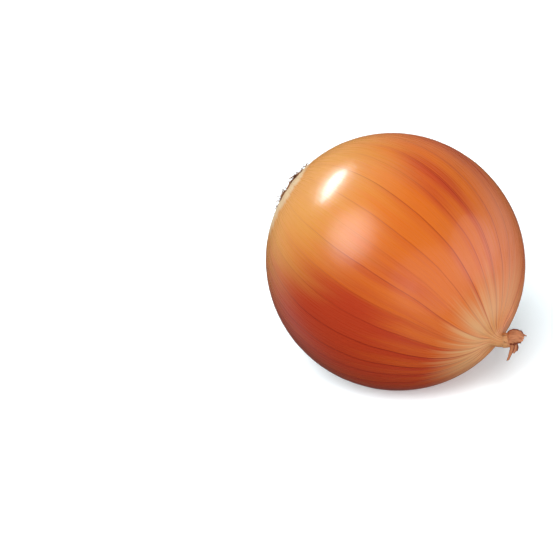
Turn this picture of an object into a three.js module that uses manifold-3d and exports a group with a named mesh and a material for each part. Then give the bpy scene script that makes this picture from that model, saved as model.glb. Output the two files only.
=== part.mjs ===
// A whole brown onion lying on its side: the skinned bulb with its pleated neck, the dry torn leaf
// ends at the neck, and the corky root plate with its trimmed roots.
// Millimetres, +Z up. The origin is the centre of the small flat spot that the bulb rests on, and
// the stem axis, from root plate to neck, runs along +X and dips towards the neck.
import * as THREE from "three";
import { mergeVertices } from "three/addons/utils/BufferGeometryUtils.js";
import Module from "manifold-3d";

const wasm = await Module();
wasm.setup();

// Driving dimensions
const EQUATOR_RADIUS = 40;
const POLE_RADIUS = 41.1;
const AXIS_DIP = THREE.MathUtils.degToRad(20.7);
const FLAT_DEPTH = 0.7;
const LOBE_HEIGHT = 0.25;
const LOBE_COUNT = 3;
const LOBE_TURN = THREE.MathUtils.degToRad(60);

// Veins run from neck to root as low ribs, and gather into pleats at the neck
const VEIN_COUNT = 32;
const VEIN_TURN = THREE.MathUtils.degToRad(7.1);
const COLUMNS_PER_VEIN = 3;
const RIB_HEIGHT = 0.12;
const PLEAT_HEIGHT = 0.1;
const PLEAT_RADIUS = 7;
const PLEAT_SPREAD = 4;
const NECK_TWIST = THREE.MathUtils.degToRad(18);
const TWIST_REACH = THREE.MathUtils.degToRad(55);

// Neck: a slim stub that bends over to one side
const SHOULDER_RADIUS = 7.5;
const FLARE_RADIUS = 4.6;
const FLARE_RISE = 0.25;
const THROAT_RADIUS = 3.1;
const THROAT_RISE = 0.95;
const NECK_RADIUS = 2.25;
const NECK_END = 45.2;
const NECK_LENGTH = 1.6;
const NECK_ROUNDING = 0.4;
const NECK_BEND_START = 42;
const NECK_BEND = 0.13;
const NECK_BEND_TURN = THREE.MathUtils.degToRad(143);
const NECK_SHIFT = 0.8;
const NECK_SHIFT_SPREAD = 13;

// Root end: a shallow seat in the bulb, and the plate that fills it
const SEAT_RADIUS = 10.6;
const SEAT_FLOOR = -38.2;
const LIP_WIDTH = 0.8;
const ROOT_FLATTENING = 0.4;
const ROOT_FLAT_SPREAD = 15;
const PIECE_GAP = 0.3;
const PLATE_RIM = 1.5;
const PLATE_CROWN = 2.1;
const ROOT_COUNT = 84;
const ROOT_SEED = 11;
const ROOT_SHORTEST = 0.9;
const ROOT_LONGEST = 2.2;
const ROOT_THINNEST = 0.42;
const ROOT_THICKEST = 0.58;
const ROOT_TAPER = 0.55;
const ROOT_SUNK = 0.8;
const ROOT_LEAN_CENTRE = 0.2;
const ROOT_LEAN_RIM = 0.9;
const ROOT_LEAN_SPREAD = 0.3;
const ROOT_CURL = 0.12;
const ROOT_SWAY = 0.8;
const ROOT_REACH = 0.93;

// Dry leaf ends
const LEAF_THICKNESS = 0.7;
const LEAF_CORE = new THREE.Vector3(1.7, 1.4, 1.1);

const PROFILE_STEPS = 36;
const NECK_STEPS = 10;

// A closed solid from a geometry's positions alone
function solidOf(geometry) {
  const bare = new THREE.BufferGeometry();
  bare.setAttribute("position", geometry.getAttribute("position"));
  bare.setIndex(geometry.getIndex());
  const merged = mergeVertices(bare, 1e-4);
  return new wasm.Manifold(
    new wasm.Mesh({
      numProp: 3,
      vertProperties: new Float32Array(merged.getAttribute("position").array),
      triVerts: new Uint32Array(merged.getIndex().array),
    }),
  );
}

function geometryOf(solid) {
  const mesh = solid.getMesh();
  const geometry = new THREE.BufferGeometry();
  geometry.setAttribute("position", new THREE.BufferAttribute(mesh.vertProperties, 3));
  geometry.setIndex(new THREE.BufferAttribute(mesh.triVerts, 1));
  geometry.computeVertexNormals();
  return geometry;
}

// Moves every vertex of a geometry by a function of its place
function reshape(geometry, move) {
  const positions = geometry.getAttribute("position");
  const point = new THREE.Vector3();
  for (let i = 0; i < positions.count; i++) {
    point.fromBufferAttribute(positions, i);
    move(point);
    positions.setXYZ(i, point.x, point.y, point.z);
  }
  return geometry;
}

// A lathe turned about +Z, from a profile of (radius, height) points
function latheAboutZ(profile, segments) {
  return new THREE.LatheGeometry(profile, segments).rotateX(Math.PI / 2);
}

function seededRandom(seed) {
  let state = seed;
  return () => {
    state = (state + 0x6d2b79f5) | 0;
    let t = Math.imul(state ^ (state >>> 15), 1 | state);
    t = (t + Math.imul(t ^ (t >>> 7), 61 | t)) ^ t;
    return ((t ^ (t >>> 14)) >>> 0) / 4294967296;
  };
}

// Height of the globe's surface at a distance from the stem axis
function globeHeight(radius) {
  return POLE_RADIUS * Math.sqrt(1 - (radius / EQUATOR_RADIUS) ** 2);
}

// How much lower than the globe the skin lies round the root plate
function rootFlattening(radius) {
  return ROOT_FLATTENING * Math.exp(-((radius / ROOT_FLAT_SPREAD) ** 4));
}

// Bulb: seat for the root plate, globe, shoulder and neck stub
function bulbProfile() {
  const lip = SEAT_RADIUS + LIP_WIDTH;
  const points = [
    new THREE.Vector2(0, SEAT_FLOOR),
    new THREE.Vector2(SEAT_RADIUS, SEAT_FLOOR),
    new THREE.Vector2(SEAT_RADIUS + LIP_WIDTH / 4, rootFlattening(lip) - globeHeight(lip) + LIP_WIDTH / 4),
  ];
  const first = Math.PI - Math.asin(lip / EQUATOR_RADIUS);
  const last = Math.asin(SHOULDER_RADIUS / EQUATOR_RADIUS);
  for (let i = 0; i <= PROFILE_STEPS; i++) {
    const angle = first + ((last - first) * i) / PROFILE_STEPS;
    const radius = EQUATOR_RADIUS * Math.sin(angle);
    const height = POLE_RADIUS * Math.cos(angle);
    points.push(new THREE.Vector2(radius, height < 0 ? height + rootFlattening(radius) : height));
  }
  const neck = new THREE.SplineCurve([
    new THREE.Vector2(SHOULDER_RADIUS, globeHeight(SHOULDER_RADIUS)),
    new THREE.Vector2(FLARE_RADIUS, globeHeight(FLARE_RADIUS) + FLARE_RISE),
    new THREE.Vector2(THROAT_RADIUS, globeHeight(THROAT_RADIUS) + THROAT_RISE),
    new THREE.Vector2(NECK_RADIUS, NECK_END - NECK_LENGTH),
    new THREE.Vector2(NECK_RADIUS, NECK_END - NECK_ROUNDING),
    new THREE.Vector2(NECK_RADIUS - NECK_ROUNDING, NECK_END),
  ]);
  points.push(...neck.getPoints(NECK_STEPS).slice(1));
  points.push(new THREE.Vector2(0, NECK_END));
  return points;
}

// Ribs along the veins, pleats round the neck, three soft lobes, the twist of the veins near the
// neck, the flatter root end, and the neck
function growBulb(point) {
  const radius = Math.hypot(point.x, point.y);
  if (radius < 1e-6) return;
  const turn = Math.atan2(point.y, point.x);
  const fromNeck = Math.atan2(radius, point.z);
  const pleats = point.z > 0 ? Math.exp(-(((radius - PLEAT_RADIUS) / PLEAT_SPREAD) ** 2)) : 0;
  const ribs = RIB_HEIGHT * Math.min(1, radius / SEAT_RADIUS) + PLEAT_HEIGHT * pleats;
  const lobes = LOBE_HEIGHT * Math.sin(fromNeck) ** 2 * Math.cos(LOBE_COUNT * (turn - LOBE_TURN));
  const relief = ribs * Math.cos(VEIN_COUNT * turn);
  const outward = new THREE.Vector2(radius / EQUATOR_RADIUS ** 2, point.z / POLE_RADIUS ** 2).normalize();
  const grown = radius + relief * outward.x + lobes;
  const twist = NECK_TWIST * Math.max(0, 1 - fromNeck / TWIST_REACH) ** 1.5;
  const newTurn = turn + VEIN_TURN + twist;
  point.x = grown * Math.cos(newTurn);
  point.y = grown * Math.sin(newTurn);
  point.z += relief * outward.y;
  bendNeck(point);
}

// How far the neck's centre line has strayed from the stem axis at a height, and its lean there.
// It leaves the globe a little to one side, and bends over to the other.
function neckReach(height) {
  return NECK_BEND * Math.max(0, height - NECK_BEND_START) ** 2;
}

function neckLean(height) {
  return Math.atan(2 * NECK_BEND * Math.max(0, height - NECK_BEND_START));
}

// Sections of the neck move out and lean over with its centre line
function bendNeck(point) {
  const radius = Math.hypot(point.x, point.y);
  const shift = point.z > 0 ? NECK_SHIFT * Math.exp(-((radius / NECK_SHIFT_SPREAD) ** 2)) : 0;
  const lean = neckLean(point.z);
  const ahead = point.x * Math.cos(NECK_BEND_TURN) + point.y * Math.sin(NECK_BEND_TURN);
  const move = neckReach(point.z) - shift + ahead * (Math.cos(lean) - 1);
  point.x += move * Math.cos(NECK_BEND_TURN);
  point.y += move * Math.sin(NECK_BEND_TURN);
  point.z -= ahead * Math.sin(lean);
}

function bulbSurface() {
  const lathe = latheAboutZ(bulbProfile(), VEIN_COUNT * COLUMNS_PER_VEIN);
  return reshape(lathe, growBulb);
}

// The lying onion's frame: the stem axis is its +Z, and its -X side is up
function lyingFrame(surface) {
  const lying = new THREE.Group();
  lying.rotation.y = Math.PI / 2 + AXIS_DIP;
  const support = Math.hypot(POLE_RADIUS * Math.sin(AXIS_DIP), EQUATOR_RADIUS * Math.cos(AXIS_DIP));
  const lowestAhead = (POLE_RADIUS ** 2 - EQUATOR_RADIUS ** 2) * Math.sin(2 * AXIS_DIP) / (2 * support);
  lying.position.x = -lowestAhead;
  lying.updateMatrix();
  const turned = surface.clone().applyMatrix4(lying.matrix);
  turned.computeBoundingBox();
  lying.position.z = -turned.boundingBox.min.z - FLAT_DEPTH;
  lying.updateMatrix();
  return lying;
}

// The bulb's solid, with the flat spot cut level with the ground
function restingBulb(surface, lying) {
  const slab = new THREE.BoxGeometry(2 * EQUATOR_RADIUS, 2 * EQUATOR_RADIUS, EQUATOR_RADIUS);
  slab.translate(0, 0, -EQUATOR_RADIUS / 2);
  slab.applyMatrix4(lying.matrix.clone().invert());
  return geometryOf(solidOf(surface).subtract(solidOf(slab)));
}

// A thin leaf blade along a curve, with an arched section. Its width runs from start to tip by way
// of the middle one.
function bladeGeometry({ path, across, widths, arch, steps }) {
  const curve = new THREE.CatmullRomCurve3(path.map((p) => new THREE.Vector3(...p)));
  const wide = new THREE.Vector3(...across).normalize();
  const box = new THREE.BoxGeometry(1, 1, 1, 4, 1, steps);
  const centre = new THREE.Vector3();
  const tangent = new THREE.Vector3();
  return reshape(box, (point) => {
    const along = point.z + 0.5;
    const back = 1 - along;
    const width = back ** 2 * widths[0] + 2 * back * along * widths[1] + along ** 2 * widths[2];
    curve.getPoint(along, centre);
    curve.getTangent(along, tangent);
    const side = wide.clone().addScaledVector(tangent, -wide.dot(tangent)).normalize();
    const face = tangent.clone().cross(side);
    const rise = point.y * LEAF_THICKNESS + arch * (1 - 4 * point.x ** 2);
    centre.addScaledVector(side, point.x * width).addScaledVector(face, rise);
    point.copy(centre);
  });
}

// Dry leaf ends, in the frame of the stub's end: +Z out along the bent stub, +X its upper side.
// Two broad ends cup together as a flattened hood. Torn strips hang under it, and one end is drawn
// out as a spike.
const HOOD = [
  {
    path: [[0.1, 0.2, 1.2], [0.2, 0.8, 1.8], [0.3, 1.1, 2.8], [0.1, 0.8, 3.8], [-0.3, 0.1, 4.5]],
    across: [1, 0, 0],
    widths: [2.8, 6.0, 2.8],
    arch: 0.8,
  },
  {
    path: [[0.1, -0.3, 1.2], [0.2, -0.9, 1.9], [0.3, -1.1, 2.8], [0.1, -0.8, 3.7]],
    across: [1, 0, 0],
    widths: [2.6, 4.6, 1.6],
    arch: -0.6,
  },
];
const STRIPS = [
  {
    path: [[-0.8, 0.4, 1.1], [-2.6, 0.8, 1.4], [-4.7, 0.9, 0.7], [-6.8, 0.8, -0.4]],
    across: [0, 0.3, 1],
    widths: [1.8, 1.6, 0.7],
    arch: 0.2,
  },
  {
    path: [[-0.8, 0.3, 1.8], [-2.2, 0.6, 2.5], [-3.4, 0.7, 2.2], [-4.5, 0.6, 1.5]],
    across: [0, 0.3, 1],
    widths: [1.6, 1.4, 0.8],
    arch: 0.2,
  },
  {
    path: [[-0.7, -0.5, 1.4], [-2.0, -1.2, 2.2], [-3.5, -1.6, 2.0]],
    across: [0, -0.3, 1],
    widths: [1.8, 1.4, 0.8],
    arch: -0.2,
  },
  {
    path: [[1.1, 0.3, 3.1], [1.3, 0.2, 4.6], [0.8, 0, 5.8]],
    across: [1, 0, 0],
    widths: [1.6, 1.0, 0.7],
    arch: 0.1,
  },
];

function neckLeaves() {
  const core = new THREE.SphereGeometry(1, 14, 9);
  core.scale(...LEAF_CORE).translate(0, 0, PIECE_GAP + LEAF_CORE.z);
  const blades = [
    ...HOOD.map((leaf) => bladeGeometry({ ...leaf, steps: 12 })),
    ...STRIPS.map((leaf) => bladeGeometry({ ...leaf, steps: 10 })),
  ];
  return geometryOf(blades.reduce((joined, blade) => joined.add(solidOf(blade)), solidOf(core)));
}

// Root plate, in the root's frame: +Z out of the bulb, with z 0 at the floor of the seat
function rootPlate() {
  const rim = SEAT_RADIUS - PIECE_GAP;
  const crown = new THREE.QuadraticBezierCurve(
    new THREE.Vector2(rim, PLATE_RIM),
    new THREE.Vector2(rim / 2, PLATE_CROWN),
    new THREE.Vector2(0, PLATE_CROWN),
  );
  const profile = [
    new THREE.Vector2(0, PIECE_GAP),
    new THREE.Vector2(rim, PIECE_GAP),
    ...crown.getPoints(5),
  ];
  let plate = solidOf(latheAboutZ(profile, 36));
  for (const root of rootStubs(rim)) plate = plate.add(solidOf(root));
  return geometryOf(plate);
}

// Trimmed roots set out on a sunflower spiral, leaning out more towards the rim
function rootStubs(rim) {
  const random = seededRandom(ROOT_SEED);
  const between = (low, high) => THREE.MathUtils.lerp(low, high, random());
  const goldenTurn = Math.PI * (3 - Math.sqrt(5));
  return Array.from({ length: ROOT_COUNT }, (_, i) => {
    const share = Math.sqrt((i + 0.5) / ROOT_COUNT);
    const turn = i * goldenTurn;
    const length = ROOT_SUNK + between(ROOT_SHORTEST, ROOT_LONGEST);
    const thick = between(ROOT_THINNEST, ROOT_THICKEST);
    const sway = between(-1, 1);
    const lean = THREE.MathUtils.lerp(ROOT_LEAN_CENTRE, ROOT_LEAN_RIM, share ** 2);
    const stub = new THREE.CylinderGeometry(thick * ROOT_TAPER, thick, length, 5, 2);
    stub.rotateX(Math.PI / 2).translate(0, 0, length / 2 - ROOT_SUNK);
    reshape(stub, (point) => {
      point.y += ROOT_CURL * sway * Math.max(0, point.z) ** 2;
    });
    stub.rotateY(lean + ROOT_LEAN_SPREAD * between(-0.5, 0.5)).rotateZ(turn + ROOT_SWAY * sway);
    const reach = ROOT_REACH * rim * share;
    const height = THREE.MathUtils.lerp(PLATE_CROWN, PLATE_RIM, share ** 2);
    return stub.translate(reach * Math.cos(turn), reach * Math.sin(turn), height);
  });
}

const skin = new THREE.MeshStandardMaterial({ color: 0xd9772f, roughness: 0.35, metalness: 0 });
const dryLeaf = new THREE.MeshStandardMaterial({ color: 0xb0703c, roughness: 0.6, metalness: 0 });
const cork = new THREE.MeshStandardMaterial({ color: 0x8c6748, roughness: 0.9, metalness: 0 });

function namedMesh(name, geometry, material) {
  const mesh = new THREE.Mesh(geometry, material);
  mesh.name = name;
  return mesh;
}

const surface = bulbSurface();
const lying = lyingFrame(surface);
lying.add(namedMesh("bulb", restingBulb(surface, lying), skin));

const neck = new THREE.Group();
const stubReach = neckReach(NECK_END) - NECK_SHIFT;
neck.position.set(stubReach * Math.cos(NECK_BEND_TURN), stubReach * Math.sin(NECK_BEND_TURN), NECK_END);
neck.rotation.set(0, neckLean(NECK_END), NECK_BEND_TURN, "ZYX");
neck.add(namedMesh("neck_leaves", neckLeaves(), dryLeaf));
lying.add(neck);

const root = new THREE.Group();
root.position.z = SEAT_FLOOR;
root.rotation.x = Math.PI;
root.add(namedMesh("root_plate", rootPlate(), cork));
lying.add(root);

const onion = new THREE.Group();
onion.add(lying);
export default onion;
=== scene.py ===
"""A whole brown onion lying on its side: veined skin, folded dry leaf ends and a matted root plate."""

import math
import random

import bmesh
import bpy
from bpy.props import FloatProperty, FloatVectorProperty, IntProperty, PointerProperty
from mathutils import Matrix, Vector, noise


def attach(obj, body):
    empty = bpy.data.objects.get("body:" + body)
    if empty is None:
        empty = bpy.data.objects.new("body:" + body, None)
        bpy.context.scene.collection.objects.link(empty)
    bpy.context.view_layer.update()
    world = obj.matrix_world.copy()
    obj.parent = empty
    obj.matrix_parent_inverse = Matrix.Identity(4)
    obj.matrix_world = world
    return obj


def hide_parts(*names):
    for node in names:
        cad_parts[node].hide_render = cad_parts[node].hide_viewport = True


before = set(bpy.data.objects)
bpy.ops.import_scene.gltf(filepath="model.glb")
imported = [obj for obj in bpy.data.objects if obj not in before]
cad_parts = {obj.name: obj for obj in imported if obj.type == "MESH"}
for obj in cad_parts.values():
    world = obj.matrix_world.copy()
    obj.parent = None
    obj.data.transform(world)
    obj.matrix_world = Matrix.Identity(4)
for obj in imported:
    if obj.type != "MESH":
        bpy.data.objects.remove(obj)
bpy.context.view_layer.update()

bl_info = {
    "name": "Brown Onion",
    "version": (1, 0, 0),
    "blender": (4, 5, 0),
    "location": "View3D > Sidebar > Onion",
    "description": "Grows a brown onion over its packed solids, with a plain studio stage",
    "category": "Object",
}

MM = 0.001

# The skin map's u is the turn round the stem, and its v runs over these degrees from the neck
SKIN_MAP = "skin_map"
MAP_START = -10.0
MAP_SPAN = 200.0
# The leaf map's u runs across a leaf end, and its v along it
LEAF_MAP = "leaf_map"

# Where the neck starts to bend, above the globe's centre, and how far out its shift reaches
BEND_START = 42 * MM
SHIFT_SPREAD = 13 * MM

# Sides of the bulb, in degrees round the stem, where the skin is reddest, golden, dry and worn. The
# reddest side is the lower side, partly russet skin and partly painted shade; the golden side is the
# upper front, partly a painted lit tone
RED_SHADED_SIDE = 300
GOLD_LIT_SIDE = 220
DRY_SIDE = 262
WORN_SIDE = 246
# Red stripes over the middle of the bulb: degrees round the stem, width in degrees, depth
STRIPES = (
    (175.0, 26.0, 0.5),
    # The stripe at 251 degrees is partly painted shade on the lower front of the bulb
    (251.0, 50.0, 0.4),
    (147.0, 14.0, 0.5),
    (36.0, 22.0, 0.5),
)


def length(name, description, millimetres):
    """A length property, with its default given in millimetres."""
    return FloatProperty(
        name=name, description=description, default=millimetres * MM, unit="LENGTH", precision=5
    )


def angle(name, description, degrees):
    """An angle property, with its default given in degrees."""
    return FloatProperty(
        name=name, description=description, default=math.radians(degrees), subtype="ANGLE"
    )


def colour(name, description, red, green, blue):
    """A linear colour property."""
    return FloatVectorProperty(
        name=name, description=description, default=(red, green, blue), size=3,
        min=0.0, max=1.0, subtype="COLOR",
    )


class BulbSettings(bpy.types.PropertyGroup):
    """Sizes and colours of the skinned bulb."""

    equator_radius: length("Equator Radius", "Half the bulb's width", 40)
    pole_radius: length("Pole Radius", "Half the globe's length along the stem", 41.1)
    axis_dip: angle("Stem Dip", "How far the stem points below the horizontal at the neck", 20.7)
    rest_height: length("Rest Height", "Height of the globe's centre above the ground", 39.277)
    rest_back: length("Rest Offset", "How far the globe's centre lies behind the rest spot", 0.735)
    lobe_height: length("Lobe Height", "Height of the three soft lobes", 0.25)
    vein_count: IntProperty(name="Veins", description="Veins round the bulb", default=32, min=8)
    vein_turn: angle("Vein Turn", "Where the first vein stands round the stem", 7.1)
    rib_height: length("Rib Height", "Height of the ribs along the veins", 0.008)
    pleat_height: length("Pleat Height", "Depth of the pleats round the neck", 0.12)
    neck_twist: angle("Neck Twist", "How far the veins turn as they gather at the neck", 18)
    neck_radius: length("Neck Radius", "Radius of the neck stub", 2.25)
    neck_end: length("Neck End", "Height of the stub's end above the globe's centre", 45.2)
    neck_bend: FloatProperty(
        name="Neck Bend", description="How fast the neck bends over, per millimetre", default=0.13
    )
    neck_bend_turn: angle("Bend Direction", "Which way the neck bends, round the stem", 143)
    neck_shift: length("Neck Shift", "How far to one side the neck leaves the globe", 0.8)
    seat_radius: length("Seat Radius", "Radius of the seat that holds the root plate", 10.6)
    seat_floor: length("Seat Floor", "Height of the seat's floor", -38.2)
    # Gold is the root end's own colour, and on the upper front also a painted lit tone
    gold: colour("Gold", "Skin near the root plate", 0.70, 0.315, 0.055)
    orange: colour("Orange", "Skin over most of the bulb", 0.69, 0.155, 0.014)
    # Russet is partly the skin's redder side and partly painted shade on the lower side; the fine threads
    # use it too
    russet_and_shade: colour("Russet", "Skin on the redder side", 0.49, 0.047, 0.013)
    vein: colour("Vein", "Tint that darkens the skin along the veins", 0.55, 0.27, 0.28)
    straw: colour("Straw", "Dry skin round the neck", 0.72, 0.43, 0.19)
    cream: colour("Cream", "Worn skin round the root plate", 0.76, 0.58, 0.34)


class NeckSettings(bpy.types.PropertyGroup):
    """Sizes and colours of the dry leaf ends."""

    thickness: length("Leaf Thickness", "Thickness of the dry leaf ends", 0.18)
    light: colour("Light Leaf", "Pale fibres of the dry leaf ends", 0.59, 0.24, 0.11)
    young: colour("Young Leaf", "Base of the leaf ends, where they leave the skin", 0.66, 0.33, 0.14)
    dark: colour("Dark Leaf", "Edges and folds of the dry leaf ends", 0.2, 0.045, 0.02)


class RootSettings(bpy.types.PropertyGroup):
    """Sizes and colours of the root plate."""

    gap: length("Gap", "Clearance between the plate and its seat", 0.3)
    rim_height: length("Rim Height", "Height of the plate's rim above the seat", 1.5)
    crown_height: length("Crown Height", "Height of the plate's middle above the seat", 2.1)
    fibres: IntProperty(name="Fibres", description="Trimmed roots on the plate", default=480, min=20)
    strands: IntProperty(name="Strands", description="Matted strands round the rim", default=120, min=0)
    hairs: IntProperty(name="Hairs", description="Fine hairs splayed round the rim", default=90, min=0)
    seed: IntProperty(name="Seed", description="Arrangement of the roots", default=7)
    pale: colour("Pale Root", "Dry outer side of the roots", 0.46, 0.24, 0.13)
    # Dark Root is painted shade of the gaps under the matted roots on the plate, and darker patches on
    # the roots themselves
    dark: colour("Dark Root", "Gaps between the roots", 0.13, 0.047, 0.022)


class StageSettings(bpy.types.PropertyGroup):
    """The floor, the lights and the camera."""

    azimuth: angle("Camera Azimuth", "Direction that the camera looks from", 34.6)
    elevation: angle("Camera Elevation", "Height of the camera above the horizontal", 24)
    distance: length("Camera Distance", "Distance from the camera to the bulb", 1500)
    frame_width: length("Frame Width", "Width of the picture at the bulb", 173.6)
    aim_left: length("Aim Left", "How far left of the bulb the camera aims", 37.1)
    aim_down: length("Aim Down", "How far below the bulb's centre the camera aims", 5.2)
    floor: colour("Floor", "Colour of the floor", 0.69, 0.75, 0.77)


def stem_frame(bulb):
    """Place of the stem's frame in the row. Its +Z runs from the root plate to the neck."""
    turn = Matrix.Rotation(math.pi / 2 + bulb.axis_dip, 4, "Y")
    return Matrix.Translation((-bulb.rest_back, 0, bulb.rest_height)) @ turn


def curve_at(points, share):
    """Point at a share of the smooth curve through the given points."""
    last = len(points) - 1
    place = share * last
    i = min(int(place), last)
    t = place - i
    p0, p1 = points[max(i - 1, 0)], points[i]
    p2, p3 = points[min(i + 1, last)], points[min(i + 2, last)]
    a, b = (p2 - p0) * 0.5, (p3 - p1) * 0.5
    return (2 * p1 - 2 * p2 + a + b) * t**3 + (-3 * p1 + 3 * p2 - 2 * a - b) * t**2 + a * t + p1


def bell(value, middle, spread):
    """A smooth hump, 1 at the middle and near 0 two spreads away."""
    return math.exp(-(((value - middle) / spread) ** 2))


def bend_neck(bulb, point):
    """Moves a point of the stem's frame to where the neck's shift and bend take it."""
    over = max(0, point.z - BEND_START) / MM
    lean = math.atan(2 * bulb.neck_bend * over)
    shift = bulb.neck_shift * bell(point.to_2d().length, 0, SHIFT_SPREAD) if point.z > 0 else 0.0
    way = Vector((math.cos(bulb.neck_bend_turn), math.sin(bulb.neck_bend_turn), 0))
    ahead = point.dot(way)
    bent = point + way * (bulb.neck_bend * over**2 * MM - shift + ahead * (math.cos(lean) - 1))
    bent.z -= ahead * math.sin(lean)
    return bent


def new_piece(name, mesh_bm, material, slot, *nodes):
    """Makes a finished bmesh into a smooth piece that rides on the part."""
    mesh = bpy.data.meshes.new(name)
    bmesh.ops.recalc_face_normals(mesh_bm, faces=mesh_bm.faces)
    for face in mesh_bm.faces:
        face.smooth = True
    mesh_bm.to_mesh(mesh)
    mesh_bm.free()
    piece = bpy.data.objects.new(name, mesh)
    bpy.context.scene.collection.objects.link(piece)
    mesh.materials.append(material)
    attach(piece, "root")
    if nodes:
        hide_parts(*nodes)
    return piece


class Sheet:
    """A material's or world's node tree, with short calls for the nodes that the finishes need."""

    def __init__(self, owner, shader="Principled BSDF"):
        owner.use_nodes = True
        self.owner = owner
        self.tree = owner.node_tree
        self.shader = self.tree.nodes[shader]

    def feed(self, socket, value):
        """Links a value into a socket, or sets it as the socket's own number or colour."""
        if isinstance(value, bpy.types.NodeSocket):
            self.tree.links.new(value, socket)
        elif isinstance(value, (int, float)):
            socket.default_value = value
        else:
            socket.default_value = (*value, 1.0)[: len(socket.default_value)]

    def paint(self, name, value):
        """Feeds one of the shader's own sockets."""
        self.feed(self.shader.inputs[name], value)

    def node(self, kind, **settings):
        """A new node with the given settings."""
        made = self.tree.nodes.new(kind)
        for key, value in settings.items():
            setattr(made, key, value)
        return made

    def sum(self, operation, *values):
        """A maths node's result."""
        made = self.node("ShaderNodeMath", operation=operation)
        for socket, value in zip(made.inputs, values):
            self.feed(socket, value)
        return made.outputs[0]

    def vector(self, x, y, z):
        """A vector made of three values."""
        made = self.node("ShaderNodeCombineXYZ")
        for socket, value in zip(made.inputs, (x, y, z)):
            self.feed(socket, value)
        return made.outputs[0]

    def span(self, value, low, high, start=0.0, end=1.0):
        """A value's smooth step from low to high, clamped."""
        made = self.node("ShaderNodeMapRange", interpolation_type="SMOOTHSTEP")
        for socket, part in zip(made.inputs, (value, low, high, start, end)):
            self.feed(socket, part)
        return made.outputs[0]

    def mix(self, share, first, second, blend="MIX"):
        """A colour mix."""
        made = self.node("ShaderNodeMix", data_type="RGBA", blend_type=blend)
        self.feed(made.inputs[0], share)
        self.feed(made.inputs[6], first)
        self.feed(made.inputs[7], second)
        return made.outputs[2]

    def noise(self, place, scale, detail=2.0, roughness=0.5):
        """Soft noise at a place."""
        made = self.node("ShaderNodeTexNoise")
        self.feed(made.inputs["Vector"], place)
        self.feed(made.inputs["Scale"], scale)
        self.feed(made.inputs["Detail"], detail)
        self.feed(made.inputs["Roughness"], roughness)
        return made.outputs[0]

    def chance(self, number):
        """A random value from 0 to 1 that is the same wherever the number is the same."""
        made = self.node("ShaderNodeTexWhiteNoise", noise_dimensions="1D")
        self.feed(made.inputs["W"], number)
        return made.outputs["Value"]

    def bump(self, height, strength, distance):
        """Fine relief on the shader's normal."""
        made = self.node("ShaderNodeBump")
        self.feed(made.inputs["Strength"], strength)
        self.feed(made.inputs["Distance"], distance)
        self.feed(made.inputs["Height"], height)
        self.tree.links.new(made.outputs[0], self.shader.inputs["Normal"])

    def mapped(self, name):
        """The two coordinates of a piece's own map."""
        made = self.node("ShaderNodeUVMap", uv_map=name)
        split = self.node("ShaderNodeSeparateXYZ")
        self.feed(split.inputs[0], made.outputs[0])
        return split.outputs[0], split.outputs[1]

    def place(self):
        """Object coordinates."""
        return self.node("ShaderNodeTexCoord").outputs["Object"]


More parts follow.
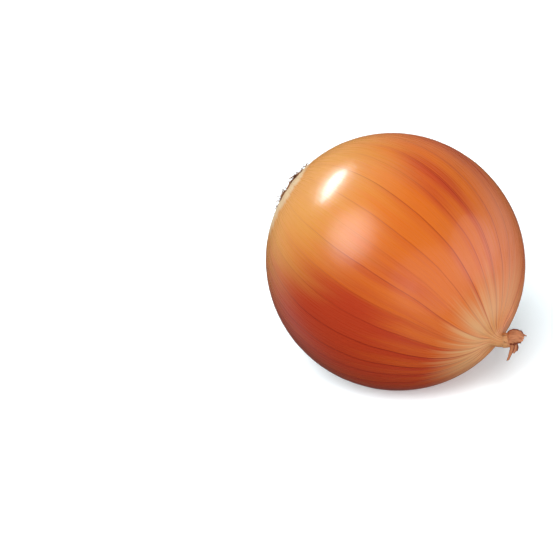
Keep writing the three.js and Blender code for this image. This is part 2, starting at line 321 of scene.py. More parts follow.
class Skin(Sheet):
    """The bulb's skin, painted from its map in shares of each colour."""

    VEIN_WANDER = 0.34
    VEIN_SWAY = 0.16

    def __init__(self, bulb):
        super().__init__(bpy.data.materials.new("onion_skin"))
        self.vein_count = float(bulb.vein_count)
        self.turn, down = self.mapped(SKIN_MAP)
        self.degrees = self.sum("MULTIPLY_ADD", down, MAP_SPAN, MAP_START)
        self.around = self.sum("MULTIPLY", self.turn, 2 * math.pi)
        self.broad = self.streaks(2.2, 0.012)
        self.bands = self.streaks(9.0, 0.012, 3.0, 0.6)
        self.pleats = self.streaks(17.0, 0.012, 2.0, 0.6)
        self.fine = self.streaks(42.0, 0.02, 3.0, 0.6)
        self.threads = self.streaks(150.0, 0.05, 2.0, 0.6)

    def streaks(self, round_scale, along_scale, detail=2.0, roughness=0.5):
        """Noise drawn out into streaks from the neck to the root plate."""
        place = self.vector(
            self.sum("MULTIPLY", self.sum("COSINE", self.around), round_scale),
            self.sum("MULTIPLY", self.sum("SINE", self.around), round_scale),
            self.sum("MULTIPLY", self.degrees, along_scale),
        )
        return self.noise(place, 1.0, detail, roughness)

    def facing(self, side):
        """1 on a side of the bulb, given in degrees round the stem, and -1 on the opposite one."""
        return self.sum("COSINE", self.sum("SUBTRACT", self.around, math.radians(side)))

    def veins(self):
        """Thin vein lines, and the shade that fades out on one side of each.

        Each vein has a strength and a small offset of its own.
        """
        along = self.sum("MULTIPLY", self.turn, self.vein_count)
        nearest = self.sum("ROUND", along)
        number = self.sum("MODULO", nearest, self.vein_count)
        wander = self.chance(self.sum("ADD", number, 40.5))
        wander = self.sum("MULTIPLY_ADD", wander, self.VEIN_WANDER, -self.VEIN_WANDER / 2)
        sway = self.streaks(3.0, 0.03)
        sway = self.sum("MULTIPLY_ADD", sway, self.VEIN_SWAY, -self.VEIN_SWAY / 2)
        past = self.sum("SUBTRACT", self.sum("SUBTRACT", along, nearest), wander)
        past = self.sum("SUBTRACT", past, sway)
        girth = self.sum("SINE", self.sum("RADIANS", self.degrees))
        girth = self.sum("MAXIMUM", girth, 0.12)
        away = self.sum("MULTIPLY", self.sum("ABSOLUTE", past), girth)
        own = self.span(self.chance(self.sum("ADD", number, 7.5)), 0.0, 1.0, 0.2, 1.0)
        reach = self.span(self.degrees, 150.0, 78.0, 0.12, 1.0)
        strength = self.sum("MULTIPLY", own, reach)
        line = self.sum("MULTIPLY", self.span(away, 0.03, 0.01), strength)
        shade = self.sum("MULTIPLY", self.span(past, 0.5, 0.02), self.span(past, -0.04, 0.01))
        return line, self.sum("MULTIPLY", shade, strength)

    def red(self, shade):
        """Redder on the lower side, partly russet skin and partly painted shade, in streaks and stripes,
        and in the shade beside the veins.
        """
        side = self.span(self.facing(RED_SHADED_SIDE), 0.2, 1.0)
        side = self.sum("MULTIPLY", side, self.span(self.degrees, 25.0, 60.0, 0.45, 0.65))
        red_and_shade = self.sum("ADD", side, 0.1)
        for streak, deep in ((self.broad, 0.7), (self.bands, 0.75), (self.fine, 0.5)):
            centred = self.sum("MULTIPLY_ADD", streak, deep, -deep / 2)
            red_and_shade = self.sum("ADD", red_and_shade, centred)
        red_and_shade = self.sum("MULTIPLY_ADD", shade, 0.4, red_and_shade)
        middle = self.span(self.degrees, 48.0, 80.0)
        middle = self.sum("MULTIPLY", middle, self.span(self.degrees, 122.0, 90.0))
        for where, wide, deep in STRIPES:
            beyond = self.sum("SUBTRACT", self.sum("DEGREES", self.around), where)
            beyond = self.sum("WRAP", beyond, 180.0, -180.0)
            stripe = self.span(beyond, wide, 0.0, 0.0, deep)
            stripe = self.sum("MULTIPLY", stripe, self.span(beyond, -5.0, 3.0))
            red_and_shade = self.sum("MULTIPLY_ADD", stripe, middle, red_and_shade)
        return self.span(red_and_shade, 0.05, 0.95)

    def golden(self):
        """Golden towards the root plate, sooner on the upper front, where it is partly a painted lit
        tone, and on its opposite.
        """
        double = self.sum("SUBTRACT", self.around, math.radians(GOLD_LIT_SIDE))
        double = self.sum("COSINE", self.sum("MULTIPLY", double, 2.0))
        edge = self.sum("MULTIPLY_ADD", double, 22.0, self.degrees)
        edge = self.sum("MULTIPLY_ADD", self.bands, 40.0, edge)
        return self.span(edge, 108.0, 168.0, 0.0, 0.95)

    def strawy(self):
        """Dry and pale round the neck, with a ragged edge."""
        ragged = self.sum("MULTIPLY_ADD", self.fine, 14.0, self.degrees)
        ragged = self.sum("MULTIPLY_ADD", self.pleats, 26.0, ragged)
        share = self.sum("MULTIPLY_ADD", self.facing(DRY_SIDE), 0.3, 0.62)
        return self.sum("MULTIPLY", share, self.span(ragged, 58.0, 33.0))

    def rays(self):
        """Orange rays between the pleats round the neck."""
        share = self.span(self.pleats, 0.47, 0.6, 0.0, 0.35)
        return self.sum("MULTIPLY", share, self.span(self.degrees, 40.0, 16.0))

    def worn(self):
        """A torn cream collar round the root plate, wider on one side."""
        wider = self.span(self.facing(WORN_SIDE), 0.4, 1.0)
        torn = self.sum("MULTIPLY_ADD", wider, 16.0, self.degrees)
        torn = self.sum("MULTIPLY_ADD", self.bands, 8.0, torn)
        torn = self.sum("MULTIPLY_ADD", self.fine, 11.0, torn)
        threads = self.span(self.threads, 0.8, 0.4, 0.6, 1.0)
        return self.sum("MULTIPLY", self.span(torn, 166.0, 171.0), threads)


def skin_finish(bulb):
    """Glossy dry skin: streaked orange, veined, straw at the neck and cream round the root plate."""
    skin = Skin(bulb)
    line, shade = skin.veins()
    strawy, worn = skin.strawy(), skin.worn()
    # Russet on the lower side is partly painted shade, and gold on the upper front partly a painted lit
    # tone
    tone = skin.mix(skin.red(shade), bulb.orange, bulb.russet_and_shade)
    tone = skin.mix(skin.golden(), tone, bulb.gold)
    tone = skin.mix(strawy, tone, bulb.straw)
    tone = skin.mix(skin.rays(), tone, bulb.orange)
    tone = skin.mix(worn, tone, bulb.cream)
    faint = skin.sum("MULTIPLY_ADD", strawy, -0.4, 0.9)
    tone = skin.mix(skin.sum("MULTIPLY", line, faint), tone, bulb.vein, "MULTIPLY")
    tone = skin.mix(skin.span(skin.threads, 0.35, 0.75, 0.0, 0.18), tone, bulb.russet_and_shade)
    skin.paint("Base Color", tone)

    dry = skin.sum("MAXIMUM", strawy, worn)
    gloss = skin.sum("MULTIPLY_ADD", skin.threads, 0.12, 0.22)
    skin.paint("Roughness", skin.sum("MULTIPLY_ADD", dry, 0.22, gloss))
    skin.paint("IOR", 1.38)
    skin.paint("Coat Weight", 0.2)
    skin.paint("Coat Roughness", 0.12)
    grain = skin.noise(skin.place(), 1500.0, 2.0)
    height = skin.sum("MULTIPLY_ADD", skin.threads, 0.5, skin.sum("MULTIPLY", skin.fine, 0.7))
    height = skin.sum("MULTIPLY_ADD", grain, 0.22, height)
    height = skin.sum("MULTIPLY_ADD", line, -0.35, height)
    skin.bump(height, 0.12, 0.0004)
    return skin.owner


def leaf_finish(neck):
    """Dry papery leaf ends: long fibres, with darker edges and folds."""
    sheet = Sheet(bpy.data.materials.new("dry_leaf"))
    across, along = sheet.mapped(LEAF_MAP)
    place = sheet.vector(sheet.sum("MULTIPLY", across, 26.0), sheet.sum("MULTIPLY", along, 3.0), 0.0)
    fibres = sheet.noise(place, 1.0, 3.0, 0.6)
    blotches = sheet.noise(sheet.place(), 420.0, 3.0, 0.6)
    edge = sheet.sum("ABSOLUTE", sheet.sum("SUBTRACT", sheet.sum("FRACT", across), 0.5))
    dark = sheet.span(edge, 0.36, 0.46)
    dark = sheet.sum("ADD", dark, sheet.span(fibres, 0.62, 0.3, 0.0, 0.5))
    dark = sheet.sum("ADD", dark, sheet.sum("MULTIPLY_ADD", blotches, 0.9, -0.4))
    pale = sheet.mix(sheet.span(along, -0.1, -0.8), neck.light, neck.young)
    tone = sheet.mix(sheet.span(dark, 0.0, 1.1), pale, neck.dark)
    sheet.paint("Base Color", tone)
    sheet.paint("Roughness", sheet.sum("MULTIPLY_ADD", fibres, 0.2, 0.42))
    sheet.paint("Specular IOR Level", 0.25)
    sheet.bump(sheet.sum("MULTIPLY_ADD", blotches, 0.3, fibres), 0.4, 0.0003)
    return sheet.owner


def root_finish(roots, name, pale_share):
    """Dry fibrous cork, pale and dark in noise patches; the dark is painted shade standing for the
    hollows between the roots.
    """
    sheet = Sheet(bpy.data.materials.new(name))
    place = sheet.place()
    patches = sheet.noise(place, 380.0, 4.0, 0.65)
    grain = sheet.noise(place, 2200.0, 3.0, 0.6)
    pale = sheet.sum("MULTIPLY_ADD", patches, 1.3, pale_share)
    pale = sheet.sum("MULTIPLY_ADD", grain, 0.5, pale)
    tone = sheet.mix(sheet.span(pale, 0.55, 1.35), roots.dark, roots.pale)
    sheet.paint("Base Color", tone)
    sheet.paint("Roughness", sheet.sum("MULTIPLY_ADD", grain, 0.2, 0.7))
    sheet.paint("Specular IOR Level", 0.05)
    sheet.bump(sheet.sum("ADD", grain, patches), 0.6, 0.0003)
    return sheet.owner


class ONION_OT_bulb(bpy.types.Operator):
    """Grow the skinned bulb with its pleated neck"""

    bl_idname = "onion.bulb"
    bl_label = "Grow Bulb"

    COLUMNS = 384
    STUB_ROWS = 5
    NECK_ROWS = 46
    GLOBE_ROWS = 148
    SEAT_ROWS = 5

    STUB_ROUNDING = 0.4 * MM
    STUB_LENGTH = 1.6 * MM
    # Radius and rise above the globe, from the stub's throat to the shoulder
    FLARE = ((3.1 * MM, 0.95 * MM), (4.6 * MM, 0.25 * MM), (7.5 * MM, 0.0))
    # How far the globe is flattened round the root plate, and out to what radius
    FLATTENING = 0.4 * MM
    FLATTENED = 15 * MM
    # The seat's rolled lip: its width, steps inwards and up, and its inner edge
    LIP = 0.8 * MM
    LIP_ROLL = ((0.3 * MM, -0.02 * MM), (0.6 * MM, 0.2 * MM))
    LIP_EDGE = 0.6 * MM

    PLEAT_RADIUS = 7 * MM
    PLEAT_SPREAD = 4 * MM
    GRAIN_HEIGHT = 0.015 * MM
    GRAIN_RADIUS = 5 * MM
    # Degrees from the neck where the collar's creases start, and where the twist ends
    COLLAR_START = 155
    COLLAR_HEIGHT = 0.25 * MM
    TWIST_END = 55
    LOBE_TURN = math.radians(60)
    # Rows further from the equator than this, in degrees, are too near the stem to have a turn
    TURN_LIMIT = 94

    def globe_height(self, radius):
        """Height of the plain globe at a radius from the stem."""
        bulb = self.bulb
        return bulb.pole_radius * math.sqrt(1 - (radius / bulb.equator_radius) ** 2)

    def root_flattening(self, radius):
        """How far the globe is pressed in round the root plate."""
        return self.FLATTENING * math.exp(-((radius / self.FLATTENED) ** 4))

    def profile(self):
        """(radius, height) rows from the stub's end, over the globe, to the middle of the seat."""
        bulb = self.bulb
        neck, end, rounding = bulb.neck_radius, bulb.neck_end, self.STUB_ROUNDING
        stub = Vector((neck - rounding, end))
        rows = [stub * Vector((i / self.STUB_ROWS, 1)) for i in range(self.STUB_ROWS)]
        neck_curve = [stub, Vector((neck, end - rounding)), Vector((neck, end - self.STUB_LENGTH))]
        neck_curve += [Vector((out, self.globe_height(out) + rise)) for out, rise in self.FLARE]
        rows += [curve_at(neck_curve, i / self.NECK_ROWS) for i in range(self.NECK_ROWS)]
        shoulder = self.FLARE[-1][0]
        lip = bulb.seat_radius + self.LIP
        first = math.asin(shoulder / bulb.equator_radius)
        last = math.pi - math.asin(lip / bulb.equator_radius)
        for i in range(self.GLOBE_ROWS):
            turn = first + (last - first) * i / (self.GLOBE_ROWS - 1)
            radius, height = bulb.equator_radius * math.sin(turn), bulb.pole_radius * math.cos(turn)
            rows.append(Vector((radius, height + (self.root_flattening(radius) if height < 0 else 0))))
        top = rows[-1].y
        rows += [Vector((lip - inward, top + up)) for inward, up in self.LIP_ROLL]
        rows.append(Vector((bulb.seat_radius, top + self.LIP_EDGE)))
        for i in range(self.SEAT_ROWS + 1):
            rows.append(Vector((bulb.seat_radius * (1 - i / self.SEAT_ROWS), bulb.seat_floor)))
        return rows

    def ripple(self, turn, degrees, round_scale, along):
        """Noise over the skin, with its scale round the stem and its length along it in degrees."""
        return noise.noise((round_scale * math.cos(turn), round_scale * math.sin(turn), degrees / along))

    def grow(self, radius, height, outward, turn):
        """Place of a point of the skin: ribs, pleats, lobes, twist, shift and bend."""
        bulb = self.bulb
        degrees = math.degrees(math.atan2(radius, height))
        pleats = bell(radius, self.PLEAT_RADIUS, self.PLEAT_SPREAD) if height > 0 else 0.0
        wave = math.cos(bulb.vein_count * turn)
        wander = self.ripple(turn, degrees, 6, 25)
        finer = math.cos(3 * bulb.vein_count * turn + 3 * wander)
        relief = bulb.rib_height * min(1, radius / bulb.seat_radius) * (wave + 0.6 * wander)
        relief += bulb.pleat_height * pleats * (0.7 * wave + 0.5 * finer + wander)
        grain = self.GRAIN_HEIGHT * self.ripple(turn, degrees, 30, 18)
        relief += grain * min(1, radius / self.GRAIN_RADIUS)
        if degrees > self.COLLAR_START:
            relief += self.COLLAR_HEIGHT * self.ripple(turn, degrees, 14, 4)
        lobes = bulb.lobe_height * math.sin(math.radians(degrees)) ** 2
        radius += relief * outward.x + lobes * math.cos(3 * (turn - self.LOBE_TURN))
        height += relief * outward.y
        turn += bulb.vein_turn + bulb.neck_twist * max(0, 1 - degrees / self.TWIST_END) ** 1.5
        return bend_neck(bulb, Vector((radius * math.cos(turn), radius * math.sin(turn), height)))

    def execute(self, context):
        self.bulb = bulb = context.scene.onion_bulb
        rows = self.profile()
        outward = []
        for i in range(len(rows)):
            tangent = rows[min(i + 1, len(rows) - 1)] - rows[max(i - 1, 0)]
            outward.append(Vector((-tangent.y, tangent.x)).normalized())
        down = [0.0]
        for before, after in zip(rows, rows[1:]):
            down.append(down[-1] + (after - before).length)
        equator = next(i for i, row in enumerate(rows) if row.y <= 0)
        skin = bmesh.new()
        bmesh.ops.create_uvsphere(skin, u_segments=self.COLUMNS, v_segments=len(rows) - 1, radius=1.0)
        place = stem_frame(bulb)
        turns, levels = {}, {}
        for vertex in skin.verts:
            row = round(math.acos(max(-1.0, min(1.0, vertex.co.z))) / math.pi * (len(rows) - 1))
            turn = math.atan2(vertex.co.y, vertex.co.x)
            turns[vertex] = turn
            levels[vertex] = 90 + math.degrees((down[row] - down[equator]) / bulb.equator_radius)
            vertex.co = place @ self.grow(rows[row].x, rows[row].y, outward[row], turn)
            vertex.co.z = max(vertex.co.z, 0.0)
        layer = skin.loops.layers.uv.new(SKIN_MAP)
        for face in skin.faces:
            clear = [turns[v] for v in face.verts if abs(levels[v] - 90) < self.TURN_LIMIT]
            middle = math.atan2(sum(math.sin(t) for t in clear), sum(math.cos(t) for t in clear))
            for loop in face.loops:
                turn = turns[loop.vert]
                turn += 2 * math.pi * round((middle - turn) / (2 * math.pi))
                loop[layer].uv = (turn / (2 * math.pi), (levels[loop.vert] - MAP_START) / MAP_SPAN)
        new_piece("bulb_skin", skin, skin_finish(bulb), "skin", "bulb")
        return {"FINISHED"}


class ONION_OT_neck_leaves(bpy.types.Operator):
    """Fold the dry leaf ends at the neck"""

    bl_idname = "onion.neck_leaves"
    bl_label = "Fold Neck Leaves"

    # Paths, widths and arches in millimetres, in the frame of the stub's end
    HOOD = [
        dict(path=[(0.3, 0.7, 0.4), (0.5, 1.2, 1.3), (0.6, 1.4, 2.5), (0.3, 1.0, 3.8), (-0.2, 0.2, 4.7)],
             across=(1, 0, 0), widths=(4.0, 6.2, 3.0), arch=1.0),
        dict(path=[(0.1, -0.3, 1.0), (0.2, -0.9, 1.9), (0.3, -1.1, 2.8), (0.1, -0.8, 3.7)],
             across=(1, 0, 0), widths=(2.6, 4.6, 1.6), arch=-0.6),
    ]
    STRIPS = [
        dict(path=[(-0.8, 0.4, 1.1), (-2.6, 0.8, 1.4), (-4.7, 0.9, 0.7), (-6.8, 0.8, -0.4)],
             across=(0, 0.3, 1), widths=(1.8, 1.6, 0.5), arch=0.25),
        dict(path=[(-0.8, 0.3, 1.8), (-2.2, 0.6, 2.5), (-3.4, 0.7, 2.2), (-4.5, 0.6, 1.5)],
             across=(0, 0.3, 1), widths=(1.6, 1.4, 0.6), arch=0.25),
        dict(path=[(-0.7, -0.5, 1.4), (-2.0, -1.2, 2.2), (-3.5, -1.6, 2.0)],
             across=(0, -0.3, 1), widths=(1.8, 1.4, 0.6), arch=-0.25),
        dict(path=[(1.1, 0.3, 3.1), (1.3, 0.2, 4.6), (0.7, 0, 6.0)],
             across=(1, 0, 0), widths=(1.4, 0.7, 0.15), arch=0.15),
    ]
    BLADE_COLUMNS = 14
    BLADE_ROWS = 34
    RAGGED = 0.1
    RIPPLE = 0.16
    CRUMPLE = 0.3
    FRAY = 0.12

    SHEATH_COLUMNS = 96
    SHEATH_CUTS = 20
    # The sheath's top and foot above the stub's end, and how far its ragged fingers vary
    SHEATH_TOP = 1.4 * MM
    SHEATH_FOOT = -1.0
    SHEATH_FINGERS = 0.8
    SHEATH_GAP = 0.04 * MM
    SHEATH_PLEATS = 16
    PLEAT_DEPTH = 0.22

    def stub_frame(self, bulb):
        """Frame of the stub's end: +Z out along the bent stub, +X its upper side."""
        over = (bulb.neck_end - BEND_START) / MM
        reach = bulb.neck_bend * over**2 * MM - bulb.neck_shift
        way = bulb.neck_bend_turn
        where = Vector((reach * math.cos(way), reach * math.sin(way), bulb.neck_end))
        turn = Matrix.Rotation(way, 4, "Z")
        lean = Matrix.Rotation(math.atan(2 * bulb.neck_bend * over), 4, "Y")
        return stem_frame(bulb) @ Matrix.Translation(where) @ turn @ lean

    def blade(self, leaf, layer, number, path, across, widths, arch):
        """A leaf blade along a path, with an arched, rippled section and a ragged end."""
        made = bmesh.ops.create_grid(
            leaf, x_segments=self.BLADE_COLUMNS, y_segments=self.BLADE_ROWS, size=0.5
        )
        points = [Vector(p) * MM for p in path]
        wide = Vector(across).normalized()
        mapped = {}
        for vertex in made["verts"]:
            u, t = vertex.co.x, vertex.co.y + 0.5
            ragged = 1 - self.RAGGED * (noise.noise((u * 9, number * 3.7, 0)) + 0.6)
            t_end = t * ragged
            width = ((1 - t) ** 2 * widths[0] + 2 * t * (1 - t) * widths[1] + t**2 * widths[2]) * MM
            centre = curve_at(points, t_end)
            ahead, behind = curve_at(points, min(t_end + 0.02, 1)), curve_at(points, max(t_end - 0.02, 0))
            tangent = (ahead - behind).normalized()
            side = (wide - tangent * wide.dot(tangent)).normalized()
            face = tangent.cross(side)
            ripple = self.RIPPLE * math.sin(u * 17 + number) * (0.3 + t)
            ripple += self.CRUMPLE * noise.noise((u * 4, t * 3, number * 5.1))
            rise = (arch * (1 - 4 * u**2) + ripple * min(1, abs(arch) * 2)) * MM
            fray = 1 + self.FRAY * noise.noise((t * 7, number * 2.3, u * 2))
            vertex.co = self.place @ (centre + side * (u * width * fray) + face * rise)
            mapped[vertex] = (u + 0.5 + number, t)
        for face in {f for v in made["verts"] for f in v.link_faces}:
            for loop in face.loops:
                loop[layer].uv = mapped[loop.vert]

    def sheath(self, leaf, layer, bulb):
        """A papery sleeve over the end of the stub, gathered where the leaves leave it."""
        bmesh.ops.create_cone(
            leaf, segments=self.SHEATH_COLUMNS, radius1=1.0, radius2=1.0, depth=1.0, cap_ends=False
        )
        edges = [e for e in leaf.edges if abs(e.verts[0].co.z - e.verts[1].co.z) > 0.5]
        bmesh.ops.subdivide_edges(leaf, edges=edges, cuts=self.SHEATH_CUTS, use_grid_fill=True)
        stem = stem_frame(bulb)
        turns, heights = {}, {}
        for vertex in leaf.verts:
            turn, t = math.atan2(vertex.co.y, vertex.co.x), vertex.co.z + 0.5
            around = Vector((math.cos(turn), math.sin(turn), 0))
            fingers = noise.noise(around * 7) + 0.6 * noise.noise(around * 16)
            low = (self.SHEATH_FOOT + self.SHEATH_FINGERS * fingers) * MM
            height = low + (self.SHEATH_TOP - low) * t
            gather = min(1, max(0, (height / MM + 0.9) / 2.3))
            pleat = math.cos(self.SHEATH_PLEATS * turn + 3 * noise.noise(around * 3))
            pleat = self.PLEAT_DEPTH * pleat * (0.3 + t)
            radius = (bulb.neck_radius + self.SHEATH_GAP) * (1 - 0.34 * gather**1.5) + 0.5 * MM * pleat
            if height < 0:
                ring = turn + bulb.neck_bend_turn
                at = Vector((radius * math.cos(ring), radius * math.sin(ring), bulb.neck_end + height))
                vertex.co = stem @ bend_neck(bulb, at)
            else:
                vertex.co = self.place @ (around * radius + Vector((0, 0, height)))
            turns[vertex], heights[vertex] = turn, t - 1
        for face in leaf.faces:
            for loop in face.loops:
                turn = turns[loop.vert]
                loop[layer].uv = (0.5 + 0.25 * math.sin(turn), heights[loop.vert])

    def execute(self, context):
        bulb, neck = context.scene.onion_bulb, context.scene.onion_neck
        self.place = self.stub_frame(bulb)
        leaf = bmesh.new()
        layer = leaf.loops.layers.uv.new(LEAF_MAP)
        self.sheath(leaf, layer, bulb)
        for number, shape in enumerate(self.HOOD + self.STRIPS):
            self.blade(leaf, layer, number, **shape)
        piece = new_piece("neck_leaf_ends", leaf, leaf_finish(neck), "dry_leaf", "neck_leaves")
        wall = piece.modifiers.new("thickness", "SOLIDIFY")
        wall.thickness = neck.thickness
        wall.offset = 0.0
        return {"FINISHED"}


class ONION_OT_root_plate(bpy.types.Operator):
    """Set the root plate in its seat, with its matted roots"""

    bl_idname = "onion.root_plate"
    bl_label = "Set Root Plate"

    UP = Vector((0, 0, 1))
    PLATE_COLUMNS = 96
    PLATE_CUTS = 22
    LUMP_HEIGHT = 0.28 * MM
    FIBRE_SIDES = 5
    FIBRE_CUTS = 4
    # Shares of the roots that start pale, on the plate and in the mat; the plate's low share leaves it
    # mostly dark, as painted shade under the matted roots
    CORK_PALE = -0.35
    FIBRE_PALE = 0.2
    # Least and most length and thickness of each kind of root, in millimetres
    STUB_REACH, STUB_THICK = (1.2, 2.6), (0.12, 0.28)
    STRAND_REACH, STRAND_THICK = (2.2, 4.6), (0.14, 0.3)
    HAIR_REACH, HAIR_THICK = (2.0, 3.6), (0.06, 0.11)

    def crown(self, share):
        """Height of the plate's face above the seat, from its middle to its rim."""
        roots = self.roots
        return roots.crown_height + (roots.rim_height - roots.crown_height) * share**2

    def plate(self, place):
        """The lumpy corky plate."""
        cork = bmesh.new()
        bmesh.ops.create_circle(
            cork, cap_ends=True, cap_tris=True, segments=self.PLATE_COLUMNS, radius=self.rim
        )
        spokes = [e for e in cork.edges if min(v.co.length for v in e.verts) < self.rim / 2]
        bmesh.ops.subdivide_edges(cork, edges=spokes, cuts=self.PLATE_CUTS, use_grid_fill=False)
        face = list(cork.verts)
        rim_edges = [e for e in cork.edges if e.is_boundary]
        skirt = bmesh.ops.extrude_edge_only(cork, edges=rim_edges)
        base = [g for g in skirt["geom"] if isinstance(g, bmesh.types.BMVert)]
        for vertex in face:
            share = vertex.co.to_2d().length / self.rim
            lump = noise.noise(vertex.co * 450) + 0.6 * noise.noise(vertex.co * 1100)
            vertex.co.z = self.crown(share) + self.LUMP_HEIGHT * lump
        for vertex in base:
            vertex.co.z = self.roots.gap
        bmesh.ops.transform(cork, matrix=place, verts=cork.verts)
        bmesh.ops.triangulate(cork, faces=[f for f in cork.faces if len(f.verts) > 4])
        return cork

    def fibre(self, where, way, curl, reach, thick):
        """One trimmed root: a short tapered tube that bends over, added to the mat."""
        root = bmesh.new()
        bmesh.ops.create_cone(
            root, cap_ends=True, segments=self.FIBRE_SIDES, radius1=thick, radius2=thick * 0.55, depth=1.0
        )
        long_edges = [e for e in root.edges if abs(e.verts[0].co.z - e.verts[1].co.z) > 0.5]
        bmesh.ops.subdivide_edges(root, edges=long_edges, cuts=self.FIBRE_CUTS)
        for vertex in root.verts:
            share = vertex.co.z + 0.5
            lean = self.UP.rotation_difference((way + curl * share).normalized())
            spine = where + (way * (share - 0.15) + curl * (share * share / 2)) * reach
            vertex.co = spine + lean @ Vector((vertex.co.x, vertex.co.y, 0))
        root.to_mesh(self.scrap)
        root.free()
        self.mat.from_mesh(self.scrap)

    def compass(self, turn):
        """Outward and sideways directions at a turn round the plate."""
        out = Vector((math.cos(turn), math.sin(turn), 0))
        return out, Vector((-out.y, out.x, 0))

    def trimmed_roots(self, chance):
        """Short stubs spread evenly over the plate."""
        up, count = self.UP, self.roots.fibres
        golden = math.pi * (3 - math.sqrt(5))
        for i in range(count):
            share = math.sqrt((i + 0.5) / count)
            out, aside = self.compass(i * golden + chance.uniform(-0.2, 0.2))
            where = out * (0.97 * self.rim * share) + up * (self.crown(share) - 0.1 * MM)
            lean = chance.uniform(-0.35, 0.35) + 0.35 * share**2
            way = (up + out * lean + aside * chance.uniform(-0.7, 0.7)).normalized()
            curl = aside * chance.uniform(-1.3, 1.3) + out * chance.uniform(-0.6, 0.5)
            curl -= up * chance.uniform(0.0, 0.7)
            reach = chance.uniform(*self.STUB_REACH) * MM
            self.fibre(where, way, curl, reach, chance.uniform(*self.STUB_THICK) * MM)

    def matted_strands(self, chance):
        """Strands that lie round the rim."""
        up, count = self.UP, self.roots.strands
        for i in range(count):
            out, aside = self.compass(2 * math.pi * (i + chance.uniform(0, 0.8)) / count)
            aside = aside * chance.choice((-1, 1))
            where = out * (self.rim * chance.uniform(0.88, 0.98))
            where += up * (self.roots.rim_height + chance.uniform(0.1, 0.9) * MM)
            way = aside + up * chance.uniform(-0.1, 0.35) + out * chance.uniform(-0.05, 0.25)
            reach = chance.uniform(*self.STRAND_REACH) * MM
            curl = -out * (reach / self.rim) + up * chance.uniform(-0.3, 0.2)
            self.fibre(where, way.normalized(), curl, reach, chance.uniform(*self.STRAND_THICK) * MM)

    def splayed_hairs(self, chance):
        """Fine hairs that stand out round the rim."""
        up = self.UP
        for _ in range(self.roots.hairs):
            out, aside = self.compass(chance.uniform(0, 2 * math.pi))
            where = out * (self.rim * chance.uniform(0.86, 0.99)) + up * (self.crown(0.95) + 0.1 * MM)
            way = up * chance.uniform(0.5, 1.2) + out * chance.uniform(0.2, 0.9)
            way = (way + aside * chance.uniform(-1, 1)).normalized()
            curl = aside * chance.uniform(-1.5, 1.5) + out * chance.uniform(-0.3, 0.8)
            curl -= up * chance.uniform(0.0, 0.8)
            reach = chance.uniform(*self.HAIR_REACH) * MM
            self.fibre(where, way, curl, reach, chance.uniform(*self.HAIR_THICK) * MM)

    def execute(self, context):
        bulb = context.scene.onion_bulb
        self.roots = roots = context.scene.onion_root
        self.rim = bulb.seat_radius - roots.gap
        seat = Matrix.Translation((0, 0, bulb.seat_floor)) @ Matrix.Rotation(math.pi, 4, "X")
        place = stem_frame(bulb) @ seat
        cork = root_finish(roots, "root_cork", self.CORK_PALE)
        new_piece("root_plate_cork", self.plate(place), cork, "root_cork", "root_plate")
        self.mat = bmesh.new()
        self.scrap = bpy.data.meshes.new("root_scrap")
        chance = random.Random(roots.seed)
        self.trimmed_roots(chance)
        self.matted_strands(chance)
        self.splayed_hairs(chance)
        bpy.data.meshes.remove(self.scrap)
        bmesh.ops.transform(self.mat, matrix=place, verts=self.mat.verts)
        new_piece("root_fibres", self.mat, root_finish(roots, "root_fibre", self.FIBRE_PALE), "root_cork")
        return {"FINISHED"}


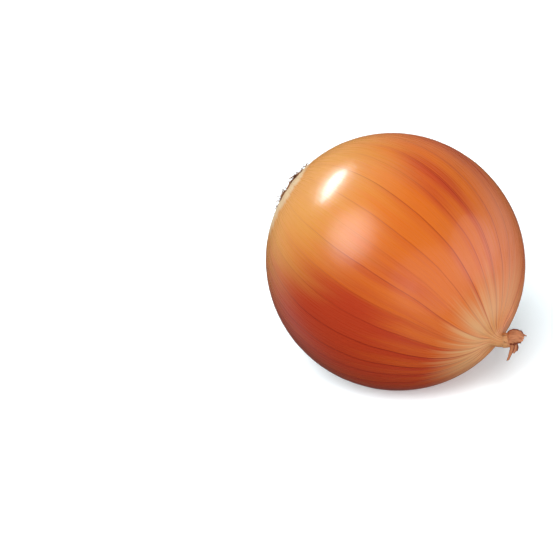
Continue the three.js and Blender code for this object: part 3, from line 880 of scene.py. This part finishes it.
class ONION_OT_stage(bpy.types.Operator):
    """Lay the floor and set the lights and the camera"""

    bl_idname = "onion.stage"
    bl_label = "Set Stage"

    FLOOR_SIZE = 6.0
    FLOOR_GLOW = 0.45
    # Directions are from the bulb, with +X to the camera's right and -Y towards the camera
    STRIP_WAY = (-0.638, 0.412, 0.636)
    KEY_WAY = (-0.645, -0.479, 0.595)
    FILL_WAY = (0.936, -0.18, 0.29)
    # Lights that only reflections show: direction, distance, width, height, watts, roll in degrees
    SHINE = (
        ("strip_light", STRIP_WAY, 1.30, 0.62, 0.27, 14.0, -14),
        ("fill_glow", FILL_WAY, 1.40, 1.4, 1.2, 8.0, 0),
        ("front_glow", (0.5, -0.85, 0.1), 1.40, 2.2, 1.5, 9.0, 0),
        ("key_glow_inner", KEY_WAY, 1.40, 0.45, 0.6, 1.6, 0),
        ("key_glow_outer", KEY_WAY, 1.42, 0.85, 1.0, 6.0, 0),
    )
    SHINE_COLOUR = (0.8, 0.9, 1.0)
    KEY_DISTANCE, KEY_SIZE, KEY_WATTS = 1.44, 1.2, 9.4
    # Lights that reflections don't show: direction, size, watts
    MATT = (
        ("side_light", STRIP_WAY, 1.0, 10.5),
        ("fill_light", FILL_WAY, 1.0, 5.0),
        ("top_light", (-0.1, 0.35, 0.93), 1.0, 7.5),
        ("front_light", (0.15, -0.97, 0.03), 0.25, 11.0),
        ("floor_light", (-0.2, -0.72, 0.66), 1.0, 54.0),
    )
    MATT_DISTANCE = 1.4
    # Dim and bright parts of the world: direction, cosines where each starts and is full, level
    CORNERS = (
        ((-0.72, -0.52, -0.46), 0.45, 0.95, 0.15),
        ((0.1, 0.85, -0.5), 0.45, 0.95, 0.15),
        ((0.93, 0.34, -0.22), 0.65, 0.97, 2.3),
    )
    SENSOR_WIDTH = 36.0
    VIEW_LIMIT = 20.0

    def lay_floor(self, stage):
        """A plain pale floor, which the bulb neither reflects nor takes light from."""
        floor = bmesh.new()
        bmesh.ops.create_grid(floor, x_segments=8, y_segments=8, size=self.FLOOR_SIZE)
        mesh = bpy.data.meshes.new("floor")
        floor.to_mesh(mesh)
        floor.free()
        ground = bpy.data.objects.new("floor", mesh)
        bpy.context.scene.collection.objects.link(ground)
        finish = Sheet(bpy.data.materials.new("floor_paint"))
        cloud = finish.noise(finish.place(), 3.0, 2.0)
        brighter = [min(1.0, c * 1.03) for c in stage.floor]
        finish.paint("Base Color", finish.mix(cloud, stage.floor, brighter))
        finish.paint("Roughness", 0.9)
        finish.paint("Specular IOR Level", 0.1)
        finish.paint("Emission Color", stage.floor)
        finish.paint("Emission Strength", self.FLOOR_GLOW)
        mesh.materials.append(finish.owner)
        ground.visible_diffuse = False
        ground.visible_glossy = False
        return ground

    def light_world(self):
        """A pale surround, dimmer straight below and above, with dim and bright parts of its own."""
        sky = Sheet(bpy.data.worlds.new("studio"), "Background")
        around = sky.node("ShaderNodeTexCoord").outputs["Generated"]
        split = sky.node("ShaderNodeSeparateXYZ")
        sky.feed(split.inputs[0], around)
        strength = sky.span(split.outputs["Z"], -0.97, -0.6, 0.1, 0.6)
        strength = sky.sum("MULTIPLY", strength, sky.span(split.outputs["Z"], 0.1, 0.6, 1.0, 0.35))
        for way, start, full, level in self.CORNERS:
            toward = sky.node("ShaderNodeVectorMath", operation="DOT_PRODUCT")
            sky.feed(toward.inputs[0], around)
            toward.inputs[1].default_value = (self.spin @ Vector(way)).normalized()
            corner = sky.span(toward.outputs["Value"], start, full, 1.0, level)
            strength = sky.sum("MULTIPLY", strength, corner)
        sky.paint("Color", (1.0, 1.0, 1.0))
        sky.paint("Strength", strength)
        bpy.context.scene.world = sky.owner

    def lamp(self, name, toward, distance, width, height, watts, roll=0, shape="RECTANGLE"):
        """A soft light that stands in a direction from the bulb and faces it."""
        data = bpy.data.lights.new(name, "AREA")
        data.shape = shape
        data.size, data.size_y, data.energy = width, height, watts
        lamp = bpy.data.objects.new(name, data)
        bpy.context.scene.collection.objects.link(lamp)
        toward = (self.spin @ Vector(toward)).normalized()
        turn = toward.to_track_quat("Z", "Y").to_matrix().to_4x4()
        turn = turn @ Matrix.Rotation(math.radians(roll), 4, "Z")
        lamp.matrix_world = Matrix.Translation(self.middle + toward * distance) @ turn
        return lamp

    def hang_lights(self, ground):
        """The lights. The floor has one of its own, so that one soft shadow falls on it."""
        for row in self.SHINE:
            lamp = self.lamp(*row, shape="ELLIPSE")
            lamp.visible_diffuse = False
            lamp.data.color = self.SHINE_COLOUR
        key_size = self.KEY_SIZE
        lamps = [
            self.lamp(
                "key_light", self.KEY_WAY, self.KEY_DISTANCE, key_size, key_size, self.KEY_WATTS,
                shape="ELLIPSE",
            )
        ]
        for name, way, size, watts in self.MATT:
            lamps.append(self.lamp(name, way, self.MATT_DISTANCE, size, size, watts))
            lamps[-1].visible_glossy = False
        for lamp in lamps:
            group = bpy.data.collections.new(lamp.name + "_group")
            group.objects.link(ground)
            only = lamp.name == "floor_light"
            group.collection_objects[0].light_linking.link_state = "INCLUDE" if only else "EXCLUDE"
            lamp.light_linking.receiver_collection = group

    def set_camera(self, scene, stage):
        """The camera, at the photograph's viewing angle."""
        eye = self.spin @ Vector((0, -math.cos(stage.elevation), math.sin(stage.elevation)))
        right = self.spin @ Vector((1, 0, 0))
        up = eye.cross(right)
        aim = self.middle - right * stage.aim_left - up * stage.aim_down
        data = bpy.data.cameras.new("camera")
        data.sensor_width = self.SENSOR_WIDTH
        camera = bpy.data.objects.new("camera", data)
        scene.collection.objects.link(camera)
        seat = self.middle + eye * stage.distance
        look = (aim - seat).normalized()
        side = look.cross(Vector((0, 0, 1))).normalized()
        turn = Matrix((side, side.cross(look), -look)).transposed().to_4x4()
        camera.matrix_world = Matrix.Translation(seat) @ turn
        data.lens = self.SENSOR_WIDTH * (aim - seat).length / stage.frame_width
        data.clip_end = self.VIEW_LIMIT
        scene.camera = camera

    def execute(self, context):
        scene, stage, bulb = context.scene, context.scene.onion_stage, context.scene.onion_bulb
        self.middle = Vector((-bulb.rest_back, 0, bulb.rest_height))
        self.spin = Matrix.Rotation(stage.azimuth, 3, "Z")
        ground = self.lay_floor(stage)
        self.light_world()
        self.hang_lights(ground)
        self.set_camera(scene, stage)
        scene.view_settings.view_transform = "Standard"
        return {"FINISHED"}


class ONION_PT_panel(bpy.types.Panel):
    """Onion settings and the steps that grow it"""

    bl_idname = "ONION_PT_panel"
    bl_label = "Onion"
    bl_space_type = "VIEW_3D"
    bl_region_type = "UI"
    bl_category = "Onion"

    def draw(self, context):
        groups = (
            (context.scene.onion_bulb, ONION_OT_bulb),
            (context.scene.onion_neck, ONION_OT_neck_leaves),
            (context.scene.onion_root, ONION_OT_root_plate),
            (context.scene.onion_stage, ONION_OT_stage),
        )
        for settings, operator in groups:
            box = self.layout.box()
            box.operator(operator.bl_idname)
            for key in settings.__annotations__:
                box.prop(settings, key)


CLASSES = (
    BulbSettings,
    NeckSettings,
    RootSettings,
    StageSettings,
    ONION_OT_bulb,
    ONION_OT_neck_leaves,
    ONION_OT_root_plate,
    ONION_OT_stage,
    ONION_PT_panel,
)


def register():
    for cls in CLASSES:
        bpy.utils.register_class(cls)
    bpy.types.Scene.onion_bulb = PointerProperty(type=BulbSettings)
    bpy.types.Scene.onion_neck = PointerProperty(type=NeckSettings)
    bpy.types.Scene.onion_root = PointerProperty(type=RootSettings)
    bpy.types.Scene.onion_stage = PointerProperty(type=StageSettings)


def unregister():
    for name in ("onion_bulb", "onion_neck", "onion_root", "onion_stage"):
        delattr(bpy.types.Scene, name)
    for cls in reversed(CLASSES):
        bpy.utils.unregister_class(cls)


def main():
    register()
    bpy.ops.onion.bulb()
    bpy.ops.onion.neck_leaves()
    bpy.ops.onion.root_plate()
    bpy.ops.onion.stage()


if __name__ == "__main__":
    main()
